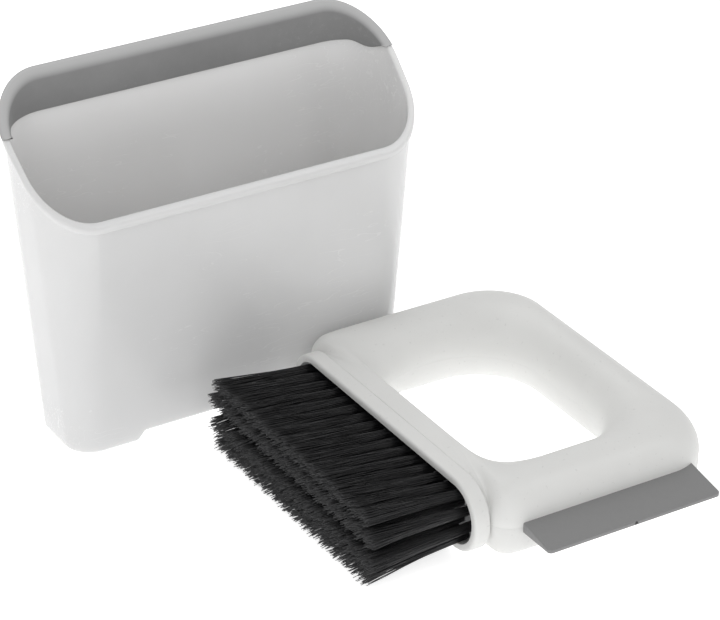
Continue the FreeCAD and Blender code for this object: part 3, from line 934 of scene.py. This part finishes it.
class DUSTPAN_OT_handle(PieceOperator):
    """Makes the two hollow shells of the loop handle"""
    bl_idname = "dustpan.handle"
    bl_label = "Loop handle shells"

    def make(self, scene):
        sizes = scene.dustpan_brush
        for name, node, up, tint in (("loop_top", "handle_top_shell", True, 1.0),
                                     ("loop_bottom", "handle_bottom_shell", False, 0.985)):
            look = satin_plastic(name + "_plastic", shade(sizes.colour, tint))
            piece(name, shell_mesh(sizes, up), look, "brush", [node], sharp=50)


class DUSTPAN_OT_frame(PieceOperator):
    """Makes the frame round the tuft block, and finishes the block and the staples"""
    bl_idname = "dustpan.frame"
    bl_label = "Bristle frame and block"

    def make(self, scene):
        sizes = scene.dustpan_brush
        look = satin_plastic("frame_plastic", sizes.colour)
        piece("bristle_frame", frame_mesh(sizes), look, "brush", ["head_frame"])
        for node, finish in (("tuft_block", satin_plastic("block_plastic", sizes.block_grey_and_shade)),
                             ("tuft_anchors", drawn_wire("staple_wire", (0.62, 0.62, 0.61)))):
            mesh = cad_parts[node].data
            mesh.materials.clear()
            mesh.materials.append(finish)


class DUSTPAN_OT_tufts(PieceOperator):
    """Makes the four rows of black nylon tufts, fibre by fibre"""
    bl_idname = "dustpan.tufts"
    bl_label = "Bristle tufts"

    def make(self, scene):
        brush = scene.dustpan_brush
        tufts = scene.dustpan_tufts
        tip = BRUSH_X + brush.block_front
        look = nylon("bristle_nylon", tufts.colour, tufts.tip_colour, tip, tufts.free_length)
        for seed, (node, count, side, level, lean) in enumerate(ROWS, start=11):
            height = side * getattr(tufts, level)
            mesh = row_mesh(node, brush, tufts, count, height, math.radians(lean), seed)
            piece(node + "_bristles", mesh, look, "brush", [node], sharp=0)


class DUSTPAN_OT_squeegee(PieceOperator):
    """Makes the squeegee blade along the loop's side"""
    bl_idname = "dustpan.squeegee"
    bl_label = "Squeegee blade"

    def make(self, scene):
        sizes = scene.dustpan_brush
        half = sizes.blade_left + sizes.blade_length / 2
        level = (sizes.blade_tip_top + sizes.blade_tip_bottom) / 2
        gate = brush_point(half, -sizes.blade_reach, level)
        look = soft_rubber("blade_elastomer", sizes.blade_colour, pit=gate)
        piece("squeegee", blade_mesh(sizes), look, "brush", ["squeegee_blade"])


class DUSTPAN_OT_stage(PieceOperator):
    """Makes the pale table, the soft lights and the camera"""
    bl_idname = "dustpan.stage"
    bl_label = "Table, lights and camera"

    def make(self, scene):
        sizes = scene.dustpan_stage
        reach = 2.2
        table = bpy.data.meshes.new("table_top")
        grid = bmesh.new()
        bmesh.ops.create_grid(grid, x_segments=8, y_segments=8, size=reach)
        bmesh.ops.translate(grid, verts=grid.verts, vec=(0, 0, -0.0002))
        grid.to_mesh(table)
        grid.free()
        table.materials.append(table_top("pale_table", sizes.floor_colour))
        floor = bpy.data.objects.new("table_top", table)
        scene.collection.objects.link(floor)

        world = bpy.data.worlds.new("white_room")
        world.use_nodes = True
        sky = world.node_tree.nodes["Background"]
        sky.inputs["Color"].default_value = (1.0, 1.0, 1.0, 1.0)
        sky.inputs["Strength"].default_value = 0.62
        scene.world = world
        scene.view_settings.view_transform = "Standard"

        for name, place, width, power in (
            ("softbox_back", (0.1, 0.9, 1.25), 1.2, 3.6),
            ("softbox_left", (-1.1, -0.6, 0.9), 0.8, 1.8),
            ("softbox_right", (0.75, -0.5, 1.35), 0.6, 2.4),
            ("softbox_front", (-0.6, -1.3, 1.0), 1.0, 2.2),
        ):
            lamp = bpy.data.lights.new(name, "AREA")
            lamp.shape = "SQUARE"
            lamp.size = width
            lamp.energy = power
            box = bpy.data.objects.new(name, lamp)
            box.location = place
            box.rotation_euler = (-Vector(place)).to_track_quat("-Z", "Y").to_euler()
            scene.collection.objects.link(box)

        azimuth = math.radians(sizes.azimuth)
        elevation = math.radians(sizes.elevation)
        back = Vector((math.sin(azimuth) * math.cos(elevation),
                       -math.cos(azimuth) * math.cos(elevation), math.sin(elevation)))
        right = Vector((math.cos(azimuth), math.sin(azimuth), 0.0))
        up = back.cross(right)
        aim = Vector((BIN_X, BIN_Y, 0.0)) + right * sizes.aim_right + up * sizes.aim_up
        data = bpy.data.cameras.new("camera")
        data.lens = sizes.lens
        data.sensor_width = 36.0
        data.clip_start, data.clip_end = 0.05, 20.0
        camera = bpy.data.objects.new("camera", data)
        camera.matrix_world = Matrix.Translation(aim + back * sizes.distance) @ \
            Matrix((right, up, back)).transposed().to_4x4()
        scene.collection.objects.link(camera)
        scene.camera = camera


class DUSTPAN_PT_panel(bpy.types.Panel):
    """Lists the steps in the 3D view's sidebar"""
    bl_idname = "DUSTPAN_PT_panel"
    bl_label = "Dustpan set"
    bl_space_type = "VIEW_3D"
    bl_region_type = "UI"
    bl_category = "Dustpan set"

    def draw(self, context):
        for step in STEPS:
            self.layout.operator(step.bl_idname)
        for name in GROUPS:
            group = getattr(context.scene, name)
            column = self.layout.box().column()
            column.label(text=name)
            for key in group.bl_rna.properties.keys():
                if key not in ("rna_type", "name"):
                    column.prop(group, key)


STEPS = (DUSTPAN_OT_stage, DUSTPAN_OT_bin, DUSTPAN_OT_lip, DUSTPAN_OT_handle, DUSTPAN_OT_frame,
         DUSTPAN_OT_tufts, DUSTPAN_OT_squeegee)
GROUPS = {"dustpan_bin": BinSizes, "dustpan_brush": BrushSizes, "dustpan_tufts": TuftSizes,
          "dustpan_stage": StageSizes}


def register():
    for cls in (*GROUPS.values(), *STEPS, DUSTPAN_PT_panel):
        bpy.utils.register_class(cls)
    for name, group in GROUPS.items():
        setattr(bpy.types.Scene, name, PointerProperty(type=group))


def unregister():
    for name in GROUPS:
        delattr(bpy.types.Scene, name)
    for cls in (DUSTPAN_PT_panel, *STEPS, *GROUPS.values()):
        bpy.utils.unregister_class(cls)


def main():
    register()
    bpy.ops.dustpan.stage()
    bpy.ops.dustpan.bin()
    bpy.ops.dustpan.lip()
    bpy.ops.dustpan.handle()
    bpy.ops.dustpan.frame()
    bpy.ops.dustpan.tufts()
    bpy.ops.dustpan.squeegee()


if __name__ == "__main__":
    main()
